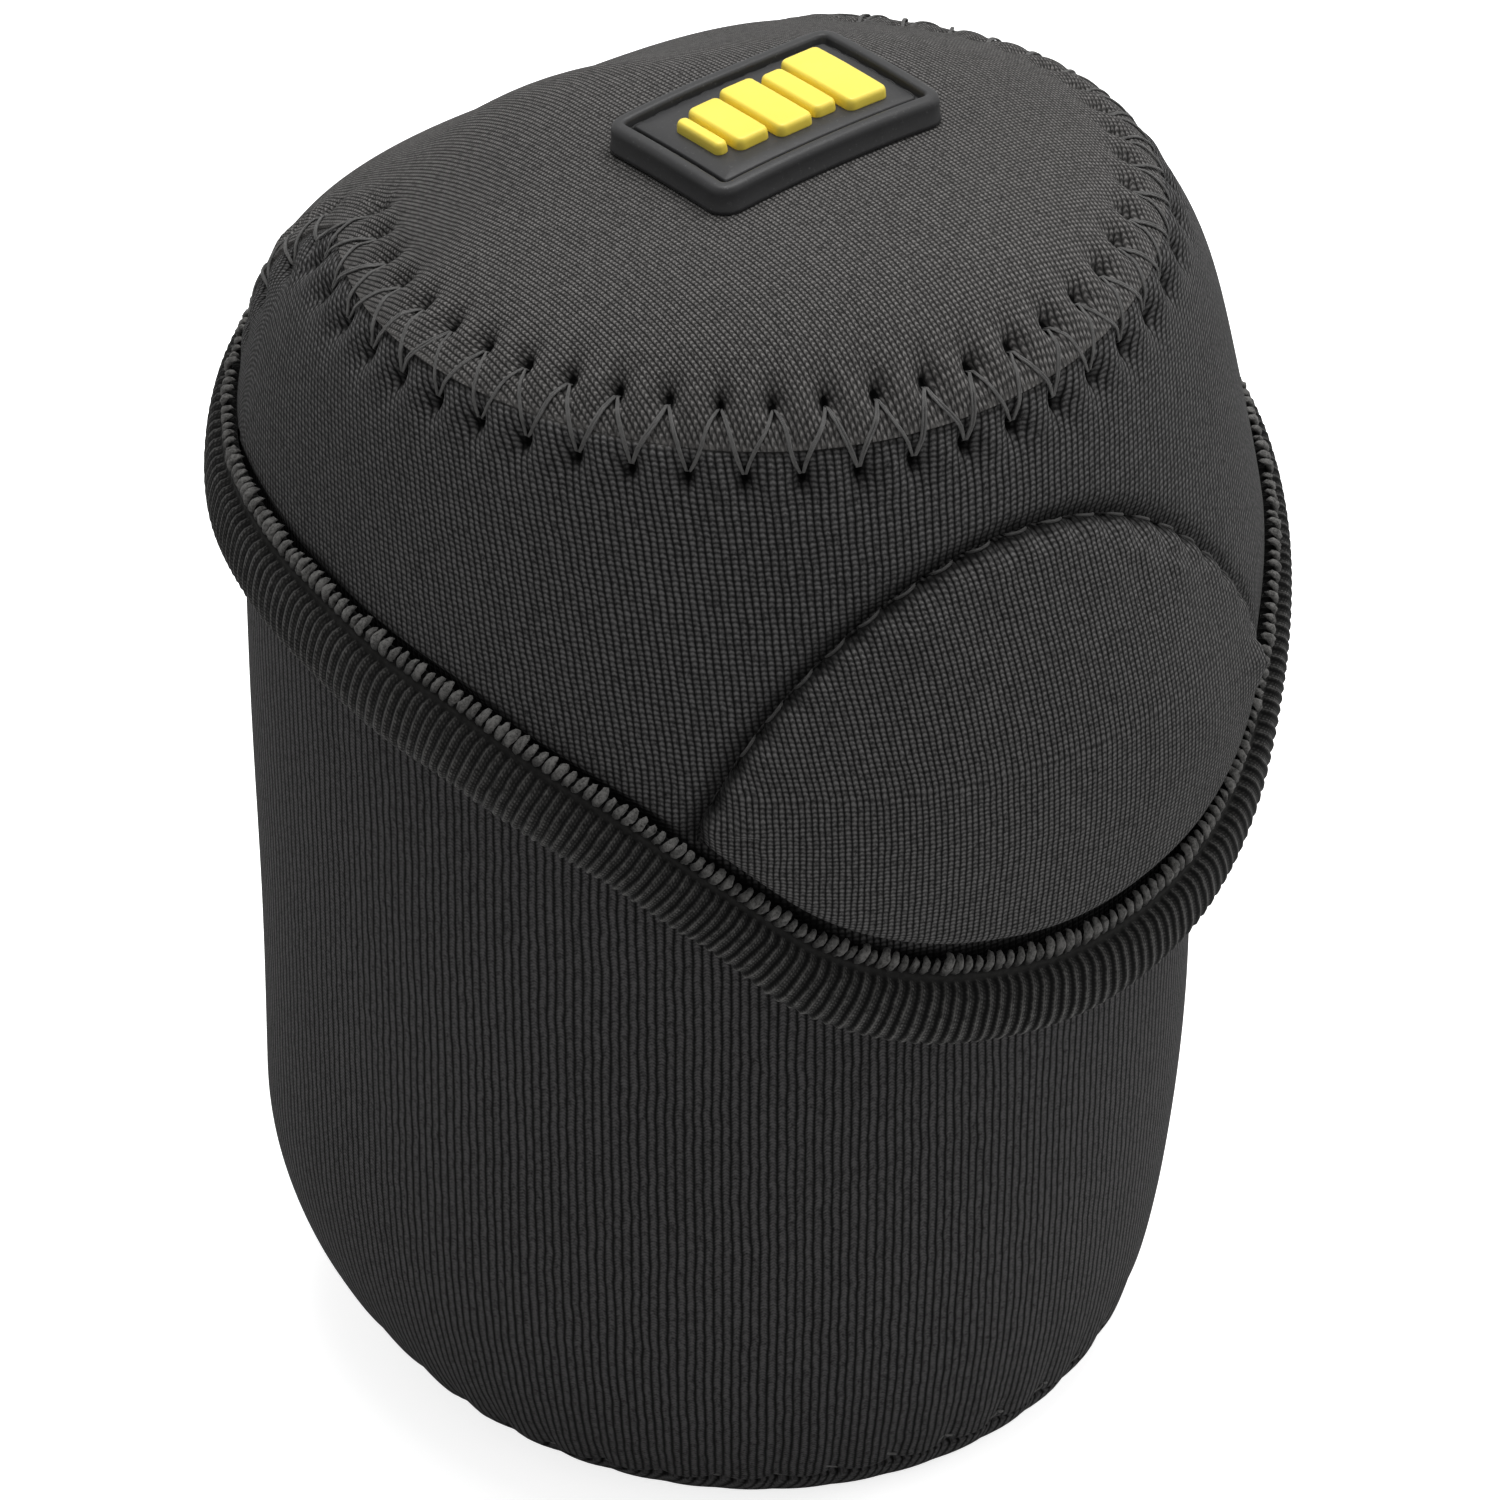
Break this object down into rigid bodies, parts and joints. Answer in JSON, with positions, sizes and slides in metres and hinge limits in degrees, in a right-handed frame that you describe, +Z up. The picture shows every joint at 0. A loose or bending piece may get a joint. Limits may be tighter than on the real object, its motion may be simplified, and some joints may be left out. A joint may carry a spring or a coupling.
{
  "type": "lens pouch",
  "caption": "Padded neoprene pouch for a camera lens: a round cup with a drawn-in mouth, a domed flap hinged at the back, a touch fastener and a belt loop.",
  "frame": {"origin": "on the floor under the axis of the round cup; the outer plan's centre lies a little behind it", "axes": "+Z up out of the cup's mouth, -Y towards the front with the pull, +Y towards the hinge and belt loop, +X to the wearer's right of the front"},
  "size_m": [0.1008, 0.1047, 0.1389],
  "materials": {
    "jersey": "charcoal knitted jersey laminated over neoprene",
    "top_jersey": "lighter knitted jersey laminated over neoprene",
    "binding": "ribbed elastic tape",
    "thread": "slightly glossy sewing thread",
    "rubber": "satin moulded rubber",
    "sign": "yellow moulded rubber",
    "fastener": "hook and loop tape",
    "webbing": "woven webbing"
  },
  "bodies": {
    "cup": {"body_wall": "jersey", "back_panel": "jersey", "base_panel": "jersey", "mouth_binding": "binding", "loop_tape": "fastener", "belt_loop": "webbing", "belt_loop_lower_end": "webbing", "belt_loop_upper_end": "webbing", "hinge_strip": "jersey"},
    "flap": {"flap_skirt": "jersey", "flap_top": "top_jersey", "crown_seam_thread": "thread", "flap_binding": "binding", "edge_cord": "binding", "pull_pad": "jersey", "hook_tape": "fastener", "rubber_patch": "rubber", "sign_mount": "sign", "sign_rear_barrel": "sign", "sign_focus_ring": "sign", "sign_front_barrel": "sign", "sign_hood": "sign"}
  },
  "joints": [
    {"name": "flap_hinge", "type": "hinge", "parent": "cup", "child": "flap", "pos_m": [0, 0.0384, 0.092], "axis": [-1, 0, 0], "range_deg": [0, 120], "deforming": ["hinge_strip"]}
  ]
}
